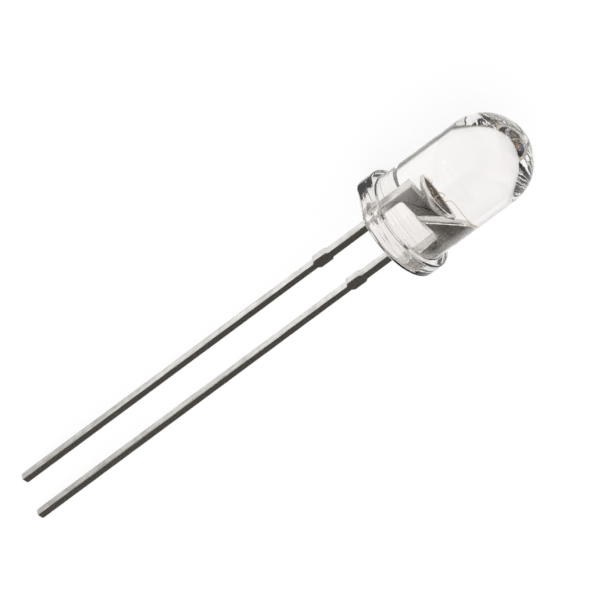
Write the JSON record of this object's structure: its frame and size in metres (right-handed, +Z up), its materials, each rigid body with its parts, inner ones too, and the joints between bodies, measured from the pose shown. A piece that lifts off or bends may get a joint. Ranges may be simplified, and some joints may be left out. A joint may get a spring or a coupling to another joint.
{
  "type": "through hole led",
  "caption": "Clear domed through hole LED with a flanged lens, a reflector cup with dies inside, and straight stamped leads of unequal length.",
  "frame": {"origin": "under the middle of the lying part's box, on the surface that it rests on", "axes": "+X along the leads towards the dome, +Y across the row of leads towards the cathode and the flat, +Z up"},
  "size_m": [0.0344, 0.0056, 0.0061],
  "materials": {
    "clear_epoxy": "clear, moulded and polished",
    "plated_steel": "bright plated sheet with sheared edges",
    "controller_chip": "polished silicon",
    "red_die": "sawn crystal",
    "green_die": "sawn crystal",
    "blue_die": "sawn crystal",
    "silver_adhesive": "matt, filled with silver",
    "gold_wire": "drawn gold"
  },
  "bodies": {
    "root": {"epoxy_lens": "clear_epoxy", "cathode_lead": "plated_steel", "anode_lead": "plated_steel", "controller_chip": "controller_chip", "red_die": "red_die", "green_die": "green_die", "blue_die": "blue_die", "controller_adhesive": "silver_adhesive", "red_adhesive": "silver_adhesive", "green_adhesive": "silver_adhesive", "blue_adhesive": "silver_adhesive", "supply_wire": "gold_wire", "ground_wire": "gold_wire", "red_wire": "gold_wire", "green_wire": "gold_wire", "green_return_wire": "gold_wire", "blue_wire": "gold_wire", "blue_return_wire": "gold_wire"}
  },
  "joints": []
}
